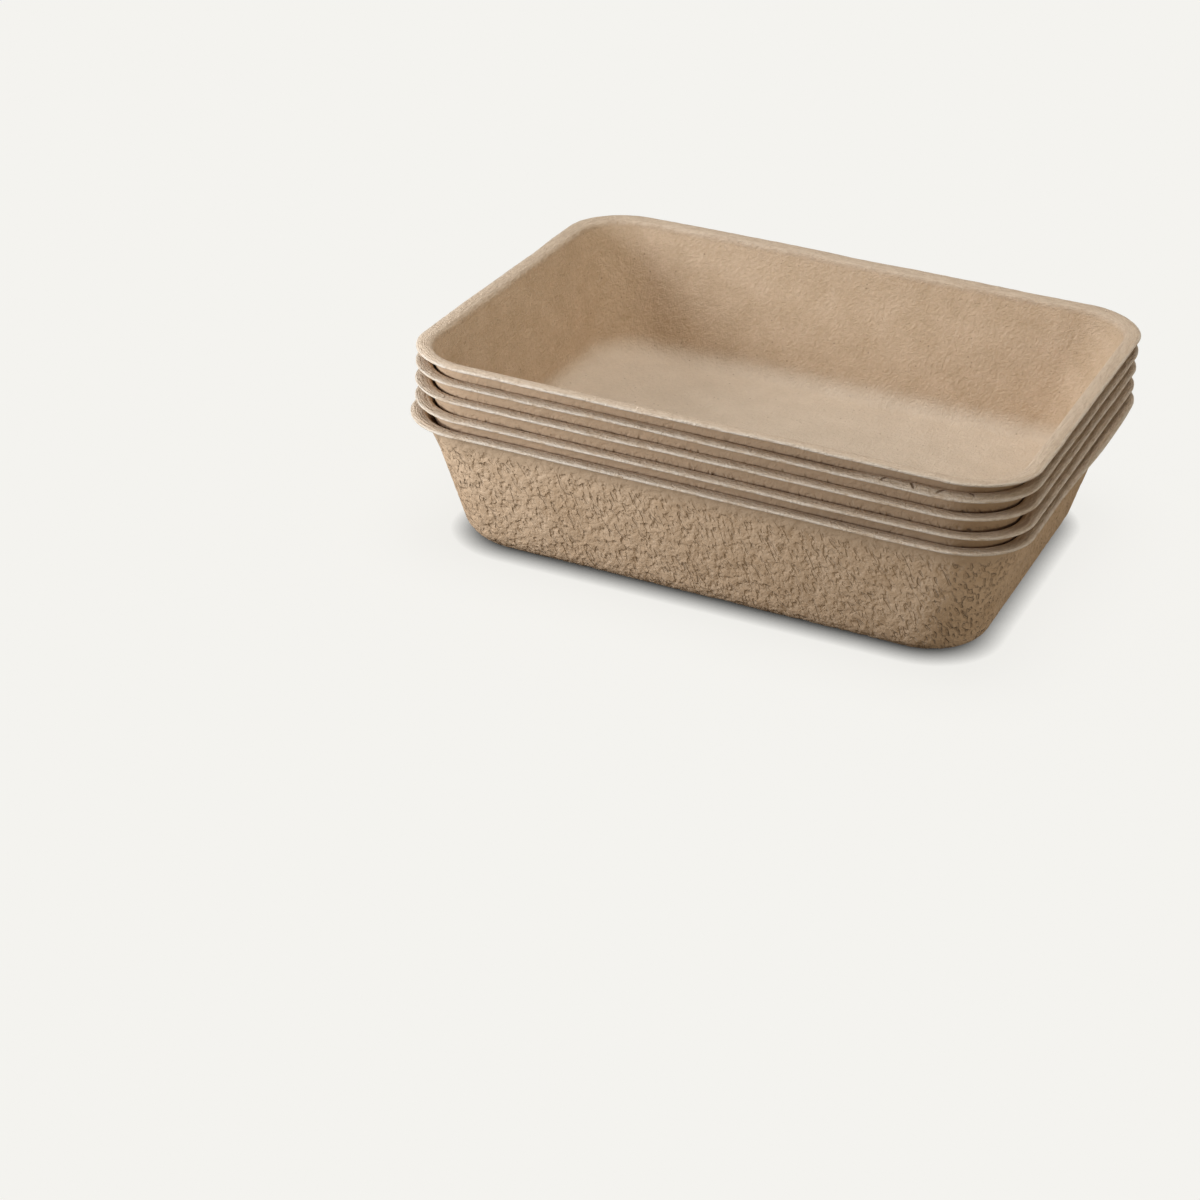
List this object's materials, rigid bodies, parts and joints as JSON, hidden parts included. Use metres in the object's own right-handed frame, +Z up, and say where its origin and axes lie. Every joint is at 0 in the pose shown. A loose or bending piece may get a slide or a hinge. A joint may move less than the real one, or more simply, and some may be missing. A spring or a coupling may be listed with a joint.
{
  "type": "stack of disposable litter trays",
  "caption": "Nested stack of rectangular moulded-pulp trays with leaning walls, round corners and flat rims, open at the top for litter.",
  "frame": {"origin": "centre of the bottom tray's base, on the surface that the stack stands on", "axes": "+X along the trays' long side, +Y across them, +Z up out of the top tray"},
  "size_m": [0.43, 0.331, 0.1425],
  "materials": {
    "moulded_pulp": "matt, fibrous, rough outside and felted inside"
  },
  "bodies": {
    "root": {"tray_1": "moulded_pulp", "tray_2": "moulded_pulp", "tray_3": "moulded_pulp", "tray_4": "moulded_pulp", "tray_5": "moulded_pulp"}
  },
  "joints": []
}
